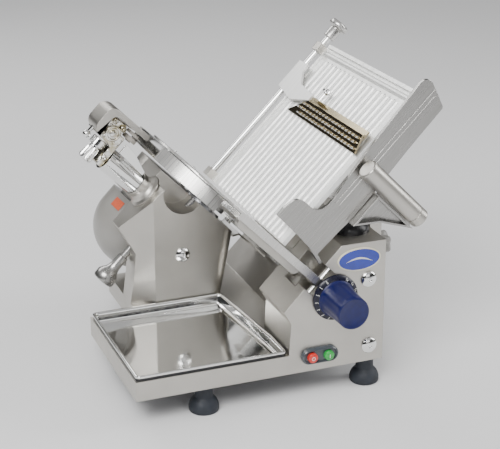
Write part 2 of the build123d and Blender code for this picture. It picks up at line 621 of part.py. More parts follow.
def sharpener_cover():
    outer = block(SHARP_Y - 26, SHARP_Y + 26, 171.5, 254, 284, 333)
    outer = fillet(outer.edges().filter_by(Axis.X).sort_by(Axis.Y)[-2:], 14)
    outer -= block(SHARP_Y - 40, SHARP_Y + 40, 160, 240, 270, 322.6)
    outer += block(SHARP_Y + 21, SHARP_Y + 26, 200, 240, 284, 333)
    return fed(outer - rod(SHARP_Y, 246, 280, 312, 3.4))


def grinding_stone():
    stone = rod(STONE_Y, STONE_S, 306, 313, 12.5) + rod(STONE_Y, STONE_S, 304, 306, 5)
    return fed(stone - rod(STONE_Y, STONE_S, 300, 320, 2.5 + RUN))


def honing_stone():
    stone = rod(STONE_Y, STONE_S, 316, 321, 12.5)
    return fed(stone - rod(STONE_Y, STONE_S, 310, 325, 2.5 + RUN))


def sharpener_handle():
    grip = rod(SHARP_Y, 222, 238, 277, 10)
    for i in range(8):
        a = math.radians(45 * i)
        grip += rod(SHARP_Y + 9 * math.cos(a), 222 + 9 * math.sin(a), 240, 272, 4)
    return fed(grip + rod(SHARP_Y, 222, 262, 280, 12))


def stone_button():
    return fed(Pos(SHARP_Y, 246, 272) * Sphere(6.5) + rod(SHARP_Y, 246, 272, 304, 3))


def stone_guard():
    outline = [(283, 194), (300, 194), (297, 172), (285, 140), (279, 140)]
    return slab_y([at_fs(f, s) for f, s in outline], SHARP_Y - 27, SHARP_Y - 24)


def slice_deflector():
    """Curved strip behind the blade that turns the slices down to the tray."""
    outline = [(299.5, -52.5), (309, -60), (309, -126), (306, -126), (306, -62), (297, -55)]
    return slab_y([at_fs(f, s) for f, s in outline], 262, 330)


NODES = {
    "base_housing": base_housing, "base_bottom_cover": base_bottom_cover,
    "slice_tray": slice_tray, "tray_gasket": tray_gasket, "front_badge": front_badge,
    "switch_bezel": switch_bezel, "thickness_dial": thickness_dial,
    "index_spindle": index_spindle, "panel_screws": panel_screws, "top_cap": top_cap,
    "cord_gland": cord_gland, "gauge_plate": gauge_plate, "gauge_bracket": gauge_bracket,
    "gauge_slide_rod": gauge_slide_rod, "knife_housing": knife_housing,
    "bearing_carrier": bearing_carrier,
    "knife_bearings": knife_bearings, "knife_shaft": knife_shaft, "knife_pulley": knife_pulley,
    "knife": knife, "knife_cover": knife_cover, "cover_screws": cover_screws,
    "ring_guard": ring_guard, "drive_belt": drive_belt, "motor_pulley": motor_pulley,
    "motor_shaft": motor_shaft, "motor_housing": motor_housing, "motor_stator": motor_stator,
    "cover_knob": cover_knob, "housing_screw": housing_screw, "carriage_rod": carriage_rod,
    "carriage_slider": carriage_slider, "carriage_post": carriage_post, "clamp_knob": clamp_knob,
    "chute_floor": chute_floor, "chute_side_plate": chute_side_plate,
    "chute_far_rail": chute_far_rail, "handle_bracket": handle_bracket,
    "handle_grip": handle_grip, "pusher_rod": pusher_rod, "rod_end_blocks": rod_end_blocks,
    "rod_knob": rod_knob, "pusher_ring": pusher_ring, "pusher_arm": pusher_arm,
    "pusher_plate": pusher_plate, "pusher_screw": pusher_screw,
    "sharpener_collar": sharpener_collar,
    "sharpener_pin": sharpener_pin, "sharpener_post": sharpener_post,
    "sharpener_body": sharpener_body, "sharpener_cover": sharpener_cover,
    "grinding_stone": grinding_stone, "honing_stone": honing_stone,
    "sharpener_handle": sharpener_handle, "stone_button": stone_button,
    "stone_guard": stone_guard, "slice_deflector": slice_deflector,
}


def write(name, part):
    export_step(Pos(-ORIGIN_X, -ORIGIN_Y, 0) * part, f"parts/{name}.step")


os.makedirs("parts", exist_ok=True)
for node, make in NODES.items():
    write(node, make())
for name, side in (("stop_button", -1), ("start_button", 1)):
    write(name, push_button(side))
feet = Part()
for x, y in FEET:
    feet += foot(x, y)
write("rubber_feet", feet)
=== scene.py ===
"""Gravity-feed meat slicer: finishes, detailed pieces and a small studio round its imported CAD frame."""

import json
import math

import bmesh
import bpy
from mathutils import Matrix, Vector


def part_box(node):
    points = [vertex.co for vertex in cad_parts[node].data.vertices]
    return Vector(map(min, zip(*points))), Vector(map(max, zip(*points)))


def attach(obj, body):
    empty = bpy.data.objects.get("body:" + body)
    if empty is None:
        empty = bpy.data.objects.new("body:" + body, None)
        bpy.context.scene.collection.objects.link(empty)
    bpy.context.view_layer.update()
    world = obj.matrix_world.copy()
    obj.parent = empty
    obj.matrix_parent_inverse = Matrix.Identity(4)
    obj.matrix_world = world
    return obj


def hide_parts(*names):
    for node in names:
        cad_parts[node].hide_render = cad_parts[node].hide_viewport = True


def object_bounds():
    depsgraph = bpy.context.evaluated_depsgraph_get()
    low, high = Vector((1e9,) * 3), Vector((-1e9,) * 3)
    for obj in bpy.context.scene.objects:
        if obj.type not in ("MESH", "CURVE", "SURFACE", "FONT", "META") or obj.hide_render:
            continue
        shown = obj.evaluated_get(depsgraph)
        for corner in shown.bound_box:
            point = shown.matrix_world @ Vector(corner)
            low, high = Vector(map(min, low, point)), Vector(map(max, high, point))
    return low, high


bl_info = {
    "name": "Meat Slicer Finisher",
    "version": (1, 0, 0),
    "blender": (4, 5, 0),
    "location": "View3D > Sidebar > Slicer",
    "description": "Gives a gravity-feed meat slicer its finishes, rounded pieces and studio",
    "category": "Object",
}

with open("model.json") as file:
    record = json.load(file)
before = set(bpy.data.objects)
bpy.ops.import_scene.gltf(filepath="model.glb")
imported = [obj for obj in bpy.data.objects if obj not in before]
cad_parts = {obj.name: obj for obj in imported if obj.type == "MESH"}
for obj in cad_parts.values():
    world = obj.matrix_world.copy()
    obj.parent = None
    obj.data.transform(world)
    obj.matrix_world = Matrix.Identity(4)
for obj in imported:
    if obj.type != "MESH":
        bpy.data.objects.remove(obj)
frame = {"nodes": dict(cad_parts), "record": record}
CAD_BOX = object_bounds()

MM = 0.001
FEED_ANGLE = math.radians(45)
ALONG = Vector((math.cos(FEED_ANGLE), 0, math.sin(FEED_ANGLE)))      # up the chute
ACROSS = Vector((0, 1, 0))                                          # away from the operator
SQUARE = Vector((-math.sin(FEED_ANGLE), 0, math.cos(FEED_ANGLE)))    # square to the chute floor
TOWARDS = Vector((0, -1, 0))                                        # towards the operator


# ---- places read from the frame -----------------------------------------------------------------
def centre(node):
    low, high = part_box(node)
    return (low + high) / 2


def feed_box(node):
    """Lowest and highest corner of a CAD node in (across, square, along) coordinates."""
    points = [(v.co.y, v.co.dot(SQUARE), v.co.dot(ALONG)) for v in frame["nodes"][node].data.vertices]
    low = Vector(min(p[i] for p in points) for i in range(3))
    high = Vector(max(p[i] for p in points) for i in range(3))
    return low, high


def from_feed(across, square, along):
    return ACROSS * across + SQUARE * square + ALONG * along


# ---- shader helpers -----------------------------------------------------------------------------
def material(name, colour, metallic, roughness):
    """A new material and its Principled shader, with the values that are the same all over."""
    made = bpy.data.materials.new(name)
    made.use_nodes = True
    shader = made.node_tree.nodes["Principled BSDF"]
    shader.inputs["Base Color"].default_value = (*colour, 1.0)
    shader.inputs["Metallic"].default_value = metallic
    shader.inputs["Roughness"].default_value = roughness
    return made, shader


def noise(shader, size, stretch=1.0, lean=0.0, detail=3.0):
    """Noise with features of about the given size in metres, drawn out along one leaning line."""
    tree = shader.id_data
    place = tree.nodes.new("ShaderNodeTexCoord")
    turn = tree.nodes.new("ShaderNodeMapping")
    turn.vector_type = "TEXTURE"
    turn.inputs["Rotation"].default_value = (0, -lean, 0)
    turn.inputs["Scale"].default_value = (stretch, 1, 1)
    cloud = tree.nodes.new("ShaderNodeTexNoise")
    cloud.inputs["Scale"].default_value = 1.0 / size
    cloud.inputs["Detail"].default_value = detail
    tree.links.new(place.outputs["Object"], turn.inputs["Vector"])
    tree.links.new(turn.outputs["Vector"], cloud.inputs["Vector"])
    return cloud.outputs["Fac"]


def spread(shader, value, low, high):
    """Maps the middle of a noise onto a range."""
    tree = shader.id_data
    remap = tree.nodes.new("ShaderNodeMapRange")
    remap.inputs["From Min"].default_value = 0.3
    remap.inputs["From Max"].default_value = 0.7
    remap.inputs["To Min"].default_value = low
    remap.inputs["To Max"].default_value = high
    tree.links.new(value, remap.inputs["Value"])
    return remap.outputs["Result"]


def vary_roughness(shader, value, low, high):
    shader.id_data.links.new(spread(shader, value, low, high), shader.inputs["Roughness"])


def vary_colour(shader, value, dark, light):
    tree = shader.id_data
    mix = tree.nodes.new("ShaderNodeMix")
    mix.data_type = "RGBA"
    mix.inputs["A"].default_value = (*dark, 1.0)
    mix.inputs["B"].default_value = (*light, 1.0)
    tree.links.new(spread(shader, value, 0.0, 1.0), mix.inputs["Factor"])
    tree.links.new(mix.outputs["Result"], shader.inputs["Base Color"])


def relief(shader, value, height, edge=0.0):
    """Bump of the given height in metres; edge is the radius that corners are softened by."""
    tree = shader.id_data
    bump = tree.nodes.new("ShaderNodeBump")
    bump.inputs["Strength"].default_value = 1.0
    bump.inputs["Distance"].default_value = height
    tree.links.new(value, bump.inputs["Height"])
    if edge:
        soften = tree.nodes.new("ShaderNodeBevel")
        soften.samples = 4
        soften.inputs["Radius"].default_value = edge
        tree.links.new(soften.outputs["Normal"], bump.inputs["Normal"])
    tree.links.new(bump.outputs["Normal"], shader.inputs["Normal"])


def tinted(colour, by):
    return tuple(min(1.0, c * by) for c in colour)


# ---- finishes -----------------------------------------------------------------------------------
def cast_aluminium(colour):
    """Vapour-blasted casting: fine even tooth, slow changes of shade."""
    made, shader = material("Cast aluminium", colour, 1.0, 0.38)
    vary_colour(shader, noise(shader, 0.09, detail=4), tinted(colour, 0.93), tinted(colour, 1.07))
    vary_roughness(shader, noise(shader, 0.02, detail=5), 0.34, 0.42)
    relief(shader, noise(shader, 0.0009, detail=2), 0.00002, edge=0.0012)
    return made


def brushed_aluminium(colour, name, lean=FEED_ANGLE):
    """Rolled sheet, brushed along one direction."""
    made, shader = material(name, colour, 1.0, 0.3)
    vary_colour(shader, noise(shader, 0.0012, 60, lean), tinted(colour, 0.92), tinted(colour, 1.06))
    vary_roughness(shader, noise(shader, 0.002, 40, lean), 0.24, 0.36)
    relief(shader, noise(shader, 0.0005, 80, lean), 0.000008, edge=0.0008)
    return made


def white_anodised(colour):
    """Matt anodised extrusion with a silky, nearly white surface."""
    made, shader = material("White anodised", colour, 0.55, 0.42)
    vary_colour(shader, noise(shader, 0.004, 25, FEED_ANGLE), tinted(colour, 0.95), tinted(colour, 1.04))
    vary_roughness(shader, noise(shader, 0.01), 0.38, 0.5)
    relief(shader, noise(shader, 0.0008, 10, FEED_ANGLE), 0.00001, edge=0.0006)
    return made


def polished_steel(colour, name, edge=0.0006):
    """Chrome-bright steel with faint wiping marks."""
    made, shader = material(name, colour, 1.0, 0.08)
    vary_roughness(shader, noise(shader, 0.015, detail=6), 0.05, 0.12)
    relief(shader, noise(shader, 0.02, detail=1), 0.00002, edge=edge)
    return made


def casting_chrome(colour):
    """Plated rough casting: a bright uneven skin with a brassy cast in its hollows."""
    made, shader = material("Casting chrome", colour, 1.0, 0.12)
    vary_colour(shader, noise(shader, 0.012, detail=2), (0.42, 0.36, 0.21), colour)
    vary_roughness(shader, noise(shader, 0.006), 0.06, 0.2)
    relief(shader, noise(shader, 0.006, detail=2), 0.0009, edge=0.0012)
    return made


def knife_steel(colour, name="Knife steel"):
    """Ground blade steel, a little duller than chrome."""
    made, shader = material(name, colour, 1.0, 0.18)
    vary_roughness(shader, noise(shader, 0.001, detail=4), 0.14, 0.22)
    vary_colour(shader, noise(shader, 0.03), tinted(colour, 0.95), colour)
    relief(shader, noise(shader, 0.0006, 12), 0.000004)
    return made


def moulded(name, colour, roughness, grain=0.000012, coat=0.0):
    """Moulded plastic with a faint leathery grain."""
    made, shader = material(name, colour, 0.0, roughness)
    shader.inputs["Coat Weight"].default_value = coat
    vary_colour(shader, noise(shader, 0.008), tinted(colour, 0.85), tinted(colour, 1.15))
    vary_roughness(shader, noise(shader, 0.004), roughness * 0.85, roughness * 1.15)
    relief(shader, noise(shader, 0.0007), grain, edge=0.0006)
    return made


def rubber(colour):
    made, shader = material("Rubber", colour, 0.0, 0.6)
    vary_colour(shader, noise(shader, 0.01), tinted(colour, 0.8), tinted(colour, 1.3))
    vary_roughness(shader, noise(shader, 0.005), 0.5, 0.7)
    relief(shader, noise(shader, 0.0006), 0.00003)
    return made


def abrasive(colour):
    """Bonded grit of a sharpening stone."""
    made, shader = material("Abrasive", colour, 0.0, 0.9)
    vary_colour(shader, noise(shader, 0.0006), tinted(colour, 0.6), tinted(colour, 1.3))
    relief(shader, noise(shader, 0.0004), 0.0001)
    return made


def painted(name, colour, roughness=0.35):
    made, shader = material(name, colour, 0.0, roughness)
    shader.inputs["Coat Weight"].default_value = 0.3
    vary_colour(shader, noise(shader, 0.04), tinted(colour, 0.95), tinted(colour, 1.04))
    vary_roughness(shader, noise(shader, 0.01), roughness * 0.9, roughness * 1.2)
    relief(shader, noise(shader, 0.002), 0.00001, edge=0.0008)
    return made


def badge_enamel(colour):
    """Glossy vitreous enamel, a little cloudy."""
    made, shader = material("Blue enamel", colour, 0.0, 0.15)
    shader.inputs["Coat Weight"].default_value = 0.8
    vary_colour(shader, noise(shader, 0.012), tinted(colour, 0.85), tinted(colour, 1.2))
    vary_roughness(shader, noise(shader, 0.004), 0.12, 0.2)
    relief(shader, noise(shader, 0.003), 0.00001)
    return made


def print_white(name, colour):
    """Printed or filled markings."""
    made, shader = material(name, colour, 0.0, 0.5)
    vary_colour(shader, noise(shader, 0.002), tinted(colour, 0.88), colour)
    relief(shader, noise(shader, 0.0005), 0.00001)
    return made


def floor_paper(colour):
    """Seamless studio paper."""
    made, shader = material("Studio paper", colour, 0.0, 0.85)
    vary_colour(shader, noise(shader, 0.6), tinted(colour, 0.985), colour)
    relief(shader, noise(shader, 0.004), 0.00002)
    return made


FINISHES = {}


def finishes():
    """Every finish of the machine by name, made once."""
    if FINISHES:
        return FINISHES
    look = bpy.context.scene.slicer_looks
    dial = tuple(look.dial)
    sheet = tuple(look.sheet)
    chrome = tuple(look.chrome)
    FINISHES.update(
        cast_aluminium=cast_aluminium(tuple(look.casting)),
        brushed_aluminium=brushed_aluminium(sheet, "Brushed aluminium"),
        ground_aluminium=brushed_aluminium(tinted(sheet, 0.62), "Ground aluminium"),
        # Dark steel whose darkness is painted shadow at the chute's groove ends.
        dark_steel=brushed_aluminium((0.3, 0.3, 0.31), "Dark steel painted shadow", 0.0),
        white_anodised=white_anodised(tuple(look.chute)),
        polished_steel=polished_steel(chrome, "Polished steel"),
        bright_stainless=polished_steel(chrome, "Bright stainless", 0.0),
        knife_steel=knife_steel(chrome),
        casting_chrome=casting_chrome(chrome),
        bronzed_steel=knife_steel((0.4, 0.34, 0.22), "Bronzed steel"),
        motor_paint=painted("Motor paint", tuple(look.motor)),
        copper=painted("Winding lacquer", (0.45, 0.22, 0.1)),
        blue_enamel=badge_enamel(tuple(look.badge)),
        navy_plastic=moulded("Navy plastic", dial, 0.34),
        # Skirt: the dial's navy darkened to near black as painted shade on its outer slope.
        skirt_plastic=moulded("Skirt navy with painted shade", tinted(dial, 0.18), 0.3),
        grey_plastic=moulded("Grey plastic", (0.06, 0.07, 0.08), 0.2, coat=0.4),
        # Near-black of the top cap: partly black plastic, partly painted shade and dark reflection on the
        # base top.
        black_plastic=moulded("Black plastic and painted shade", (0.012, 0.012, 0.014), 0.35),
        red_plastic=moulded("Red plastic", tuple(look.stop), 0.3, coat=0.5),
        green_plastic=moulded("Green plastic", tuple(look.start), 0.3, coat=0.5),
        rubber=rubber(tuple(look.rubber)),
        abrasive=abrasive((0.45, 0.42, 0.38)),
        mark_white=print_white("White print", (0.8, 0.8, 0.76)),
        badge_cream=print_white("Cream rim", (0.78, 0.74, 0.6)),
        label_paper=print_white("Label paper", (0.62, 0.62, 0.6)),
        label_orange=print_white("Label orange", tuple(look.label)))
    return FINISHES


FINISH_OF_SLOT = {"belt_rubber": "rubber"}
FINISH_OF_NODE = {"chute_side_plate": "ground_aluminium", "pusher_plate": "bronzed_steel",
                  "sharpener_post": "polished_steel", "handle_bracket": "ground_aluminium"}


def dress_nodes():
    """Give every CAD node the finish that its record slot names."""
    kept = finishes()
    for part in frame["record"]["subparts"]:
        slot = part["material_slot"]
        node = frame["nodes"][part["node"]]
        finish = kept[FINISH_OF_NODE.get(part["node"], FINISH_OF_SLOT.get(slot, slot))]
        if not node.material_slots:
            raise RuntimeError(f"{node.name} has no material slot")
        for place in node.material_slots:
            place.link = "OBJECT"
            place.material = finish


# ---- mesh helpers -------------------------------------------------------------------------------
def piece(name, mesh, body, finish, stands_for=(), round_by=0.0, smooth=35.0):
    """Put a finished bmesh in the scene as a piece that rides on a body."""
    data = bpy.data.meshes.new(name)
    bmesh.ops.recalc_face_normals(mesh, faces=mesh.faces)
    mesh.to_mesh(data)
    mesh.free()
    data.shade_smooth()
    data.set_sharp_from_angle(angle=math.radians(smooth))
    data.materials.append(finishes()[finish])
    made = bpy.data.objects.new(name, data)
    bpy.context.scene.collection.objects.link(made)
    if round_by:
        bevel = made.modifiers.new("rounded edges", "BEVEL")
        bevel.width = round_by * MM
        bevel.segments = 3
        bevel.limit_method = "ANGLE"
        bevel.angle_limit = math.radians(smooth)
        bevel.harden_normals = True
    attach(made, body)
    if stands_for:
        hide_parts(*stands_for)
    return made


def lathe(profile, origin, axis, steps=72, lobes=0, depth=0.0):
    """Turned bmesh from (radius, height) points in mm; lobes waves of the given depth run round it."""
    turn = axis.to_track_quat("Z", "Y").to_matrix()
    mesh = bmesh.new()
    rings = []
    for point in profile:
        radius, height = point[0], point[1]
        wave = depth * (point[2] if len(point) > 2 else 0.0)
        if radius < 0.001:
            rings.append([mesh.verts.new(origin + turn @ Vector((0, 0, height * MM)))])
            continue
        ring = []
        for i in range(steps):
            angle = math.tau * i / steps
            r = radius - wave * (0.5 - 0.5 * math.cos(lobes * angle))
            flat = Vector((r * math.cos(angle), r * math.sin(angle), height))
            ring.append(mesh.verts.new(origin + turn @ (flat * MM)))
        rings.append(ring)
    for low, high in zip(rings, rings[1:]):
        join_rings(mesh, low, high)
    return mesh


def join_rings(mesh, low, high):
    count = max(len(low), len(high))
    for i in range(count):
        j = (i + 1) % count
        corners = [low[i % len(low)], low[j % len(low)], high[j % len(high)], high[i % len(high)]]
        unique = list(dict.fromkeys(corners))
        if len(unique) > 2:
            mesh.faces.new(unique)


def rounded(points, radius, steps=6):
    """An outline of 2D points with its corners rounded; radius is one number or one per corner."""
    count = len(points)
    radii = radius if isinstance(radius, (list, tuple)) else [radius] * count
    made = []
    for i, here in enumerate(points):
        here = Vector(here)
        before = (Vector(points[i - 1]) - here).normalized()
        after = (Vector(points[(i + 1) % count]) - here).normalized()
        half = before.angle(after) / 2
        reach = radii[i] / math.tan(half)
        bisector = (before + after).normalized()
        hub = here + bisector * radii[i] / math.sin(half)
        start = here + before * reach - hub
        sweep = math.pi - 2 * half
        side = 1 if before.x * after.y - before.y * after.x < 0 else -1
        for k in range(steps + 1):
            angle = side * sweep * k / steps
            made.append(hub + Matrix.Rotation(angle, 2) @ start)
    return made


def prism(outline, origin, right, up, low, high):
    """Solid with a 2D outline in mm in the plane of right and up, from low to high along its normal."""
    normal = right.cross(up)
    mesh = bmesh.new()
    rings = []
    for height in (low, high):
        rings.append([mesh.verts.new(origin + (right * p[0] + up * p[1] + normal * height) * MM)
                      for p in outline])
    join_rings(mesh, *rings)
    mesh.faces.new(rings[0])
    mesh.faces.new(rings[1])
    return mesh


def loft(sections, origin, right, up, close_ends=(True, True)):
    """Skin through (outline, height) sections with equal numbers of points, in mm."""
    normal = right.cross(up)
    mesh = bmesh.new()
    rings = []
    for outline, height in sections:
        rings.append([mesh.verts.new(origin + (right * p[0] + up * p[1] + normal * height) * MM)
                      for p in outline])
    for low, high in zip(rings, rings[1:]):
        join_rings(mesh, low, high)
    if close_ends[0]:
        mesh.faces.new(rings[0])
    if close_ends[1]:
        mesh.faces.new(rings[-1])
    return mesh


# ---- dial ---------------------------------------------------------------------------------------
def make_dial(sizes):
    low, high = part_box("thickness_dial")
    hub = Vector(((low.x + high.x) / 2, high.y, (low.z + high.z) / 2))
    radius = (high.x - low.x) / 2 / MM
    length = (high.y - low.y) / MM
    skirt = [(6.2, 0), (radius - 0.6, 0), (radius, 0.8), (radius, 3.2), (radius - 1.2, 4.4),
             (radius - 6.5, 8.2), (24, 8.4)]
    # The skirt's near-black is the grip's navy with painted shade.
    piece("dial_skirt", lathe(skirt, hub, TOWARDS, 96), "dial", "skirt_plastic",
          ("thickness_dial",))
    tip = length - 0.4
    grip = [(24, 8.4), (radius - 6.6, 8.4), (radius - 8.0, 9.6), (radius - 8.6, 12, 0.2),
            (radius - 9.2, 20, 1), (radius - 10.6, tip - 8, 1), (radius - 10.8, tip - 3, 0.3),
            (radius - 11.6, tip - 0.8), (radius - 13.2, tip), (radius - 14.0, tip - 0.5), (0, tip - 0.5)]
    piece("dial_grip", lathe(grip, hub, TOWARDS, 144, sizes.dial_flats, sizes.dial_flat_depth),
          "dial", "navy_plastic")
    marks = bmesh.new()
    for i in range(sizes.dial_marks):
        angle = math.radians(150 + 300 * i / (sizes.dial_marks - 1) - 30)
        out = Vector((math.cos(angle), 0, math.sin(angle)))
        spot = hub + out * (radius - 1.9) * MM + TOWARDS * 5.0 * MM
        bmesh.ops.create_uvsphere(marks, u_segments=10, v_segments=6, radius=0.7 * MM,
                                  matrix=Matrix.Translation(spot))
    piece("dial_dots", marks, "dial", "mark_white")
    for i in range(sizes.dial_marks):
        angle = math.radians(120 + 300 * i / (sizes.dial_marks - 1))
        dial_number(str(i), hub, angle, radius)


def dial_number(words, hub, angle, radius):
    """One printed number that lies on the skirt's slope with its foot towards the grip."""
    curve = bpy.data.curves.new("number", "FONT")
    curve.body = words
    curve.size = 5.0 * MM
    curve.align_x = "CENTER"
    curve.align_y = "CENTER"
    curve.extrude = 0.12 * MM
    text = bpy.data.objects.new("number", curve)
    bpy.context.scene.collection.objects.link(text)
    bpy.context.view_layer.update()
    data = bpy.data.meshes.new_from_object(text.evaluated_get(bpy.context.evaluated_depsgraph_get()))
    bpy.data.objects.remove(text)
    out = Vector((math.cos(angle), 0, math.sin(angle)))
    slope = math.atan2(3.8, 5.3)
    up = (out * math.cos(slope) - TOWARDS * math.sin(slope)).normalized()
    face = (TOWARDS * math.cos(slope) + out * math.sin(slope)).normalized()
    right = up.cross(face)
    spot = hub + out * (radius - 4.4) * MM + TOWARDS * 6.9 * MM
    turn = Matrix((right, up, face)).transposed().to_4x4()
    mesh = bmesh.new()
    mesh.from_mesh(data)
    mesh.transform(Matrix.Translation(spot) @ turn)
    bpy.data.meshes.remove(data)
    piece("dial_number_" + words, mesh, "dial", "mark_white")


# ---- switch -------------------------------------------------------------------------------------
def stadium(width, height, steps=16):
    half, r = (width - height) / 2, height / 2
    points = []
    for side in (1, -1):
        for k in range(steps + 1):
            a = -math.pi / 2 + math.pi * k / steps
            points.append((side * (half + r * math.cos(a)), side * r * math.sin(a)))
    return points


def make_switch():
    low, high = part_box("switch_bezel")
    hub = Vector(((low.x + high.x) / 2, 0, (low.z + high.z) / 2))
    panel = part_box("front_badge")[1].y
    hub.y = panel
    width = (high.x - low.x) / MM
    tall = (high.z - low.z) / MM
    stand = (panel - low.y) / MM
    right = Vector((1, 0, 0))
    up = Vector((0, 0, 1))
    sections = []
    for inset, height in ((0, 0), (0, stand - 3), (0.8, stand - 1), (2.2, stand), (3.4, stand - 0.4),
                          (4.0, stand - 1.6), (4.6, stand - 3.0)):
        sections.append((stadium(width - 2 * inset, tall - 2 * inset), height))
    piece("switch_boot", loft(sections, hub, right, up), "base", "grey_plastic",
          ("switch_bezel",))
    for name, sign, finish in (("stop_button", -1, "red_plastic"), ("start_button", 1, "green_plastic")):
        spot = centre(name)
        spot.y = hub.y - (stand - 3.0) * MM
        reach = (spot.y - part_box(name)[0].y) / MM
        dome = [(7.9, 0), (7.9, reach - 2.6), (7.4, reach - 1.5), (5.6, reach - 0.5), (3, reach - 0.1),
                (0, reach)]
        piece(name + "_cap", lathe(dome, spot, TOWARDS), name, finish, (name,))
        mark = bmesh.new()
        if sign < 0:
            ring = [(2.0, reach - 0.5), (2.0, reach + 0.15), (3.0, reach + 0.05), (3.0, reach - 0.5)]
            mark.free()
            mark = lathe(ring, spot, TOWARDS, 48)
        else:
            mark.free()
            bar = rounded([(-0.6, -2.8), (0.6, -2.8), (0.6, 2.8), (-0.6, 2.8)], 0.4, 3)
            mark = prism(bar, spot, right, up, reach - 0.8, reach + 0.15)
        piece(name + "_mark", mark, name, "mark_white")


# ---- badge --------------------------------------------------------------------------------------
def make_badge():
    low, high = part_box("front_badge")
    hub = Vector(((low.x + high.x) / 2, high.y, (low.z + high.z) / 2))
    wide = (high.x - low.x) / 2 / MM
    tall = (high.z - low.z) / 2 / MM
    thick = (high.y - low.y) / MM
    right = Vector((1, 0, 0))
    up = Vector((0, 0, 1))

    def oval(inset, steps=72):
        turns = [math.tau * i / steps for i in range(steps)]
        return [((wide - inset) * math.cos(a), (tall - inset) * math.sin(a)) for a in turns]

    rim = [(oval(0), 0), (oval(0), thick - 0.8), (oval(0.5), thick - 0.2), (oval(1.2), thick),
           (oval(1.9), thick - 0.1), (oval(2.2), thick - 0.6)]
    piece("badge_rim", loft(rim, hub, right, up, (True, False)), "base", "badge_cream",
          ("front_badge",))
    field = [(oval(2.2), thick - 0.9), (oval(2.4), thick - 0.5), (oval(6), thick - 0.2),
             (oval(11), thick)]
    piece("badge_field", loft(field, hub, right, up, (False, True)), "base", "blue_enamel")
    swoosh = []
    for i in range(25):
        t = i / 24
        swoosh.append((-22 + 44 * t, -2.5 + 7.5 * math.sin(math.pi * t) - 2.0 * t))
    for i in range(25):
        t = 1 - i / 24
        swoosh.append((-22 + 44 * t, -2.6 + 4.6 * math.sin(math.pi * t) - 2.0 * t))
    piece("badge_swoosh", prism(swoosh, hub, right, up, thick - 0.6, thick + 0.12), "base",
          "mark_white")


# ---- turned pieces ------------------------------------------------------------------------------
def make_feet(sizes):
    low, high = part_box("rubber_feet")
    radius = sizes.foot_radius
    stem = (high.z - low.z) / MM
    top = (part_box("base_housing")[0].z - low.z) / MM
    bell = [(0, 0.8), (radius - 4, 0.8), (radius - 3, 0), (radius - 1, 0.4), (radius, 2.4), (radius, 8),
            (radius - 0.8, 11.5), (radius - 3, 16.5), (radius - 6.5, 20.8), (radius - 8.6, 22.4),
            (radius - 9.2, 24), (radius - 9.2, top - 8), (radius - 8.4, top - 6.5),
            (radius - 8.4, top - 0.3), (6, top), (6, stem), (0, stem)]
    first = True
    for side_x in (low.x + radius * MM, high.x - radius * MM):
        for side_y in (low.y + radius * MM, high.y - radius * MM):
            name = "foot_" + ("left" if side_x < 0 else "right") + ("_front" if side_y < 0 else "_rear")
            piece(name, lathe(bell, Vector((side_x, side_y, low.z)), Vector((0, 0, 1))), "base",
                  "rubber", ("rubber_feet",) if first else (), smooth=50)
            first = False


def domed_head(name, hub, axis, radius, rise):
    """A bright domed screw head with a small hexagonal socket."""
    dome = [(radius, 0), (radius, 0.6)]
    for i in range(1, 8):
        a = math.radians(90 * i / 8)
        dome.append((radius * math.cos(a) + 0.2, 0.6 + (rise - 0.6) * math.sin(a)))
    dome = [p for p in dome if p[0] > 3.2]
    dome += [(2.9, rise - 0.05), (2.5, rise - 0.3), (2.4, rise - 1.6), (0, rise - 1.9)]
    return piece(name, lathe(dome, hub, axis, 72), "base", "polished_steel")


def make_screws(sizes):
    low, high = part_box("panel_screws")
    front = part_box("front_badge")[1].y
    rise = (front - low.y) / MM
    radius = sizes.cap_screw_radius
    spots = ((high.x - radius * MM, low.z + radius * MM), (low.x + radius * MM, high.z - radius * MM))
    for i, (x, z) in enumerate(spots):
        made = domed_head(f"panel_screw_{i + 1}", Vector((x, front, z)), TOWARDS, radius, rise)
        if i == 0:
            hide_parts("panel_screws")
    low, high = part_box("housing_screw")
    hub = Vector(((low.x + high.x) / 2, high.y, (low.z + high.z) / 2))
    made = domed_head("housing_screw_head", hub, TOWARDS, (high.x - low.x) / 2 / MM, (high.y - low.y) / MM)
    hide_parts("housing_screw")


def make_tray(sizes):
    low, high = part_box("slice_tray")
    corner = Vector((low.x, low.y, low.z))
    wide = (high.x - low.x) / MM
    deep = (high.y - low.y) / MM
    tall = (high.z - low.z) / MM
    skew, bend = sizes.tray_skew, sizes.tray_bend

    def outline(inset, r):
        lean = inset * 1.0
        return rounded([(inset, inset), (wide - lean, inset), (wide - lean, bend),
                        (wide - skew - lean, deep - inset), (inset, deep - inset)],
                       [r, r, 40, r, r], 8)

    sections = [(outline(4.8, 3), 0), (outline(4.0, 3.6), 1.2), (outline(4.0, 4), tall - 4.0),
                (outline(0.4, 6.6), tall - 4.0), (outline(0, 7), tall - 3.4), (outline(0, 7), tall - 1.2),
                (outline(0.4, 6.7), tall - 0.4), (outline(1.2, 6.2), tall), (outline(2.4, 5.6), tall),
                (outline(3.4, 5.2), tall - 0.5), (outline(4.6, 5), tall - 2.0),
                (outline(5.5, 4.8), tall - 4.6), (outline(6.2, 5), 7), (outline(7.4, 5.4), 4.4),
                (outline(9.6, 6), 2.8), (outline(14, 8), 2.1), (outline(40, 12), 2.0)]
    piece("tray_pan", loft(sections, corner, Vector((1, 0, 0)), Vector((0, 1, 0))), "tray",
          "bright_stainless", ("slice_tray",), smooth=40)


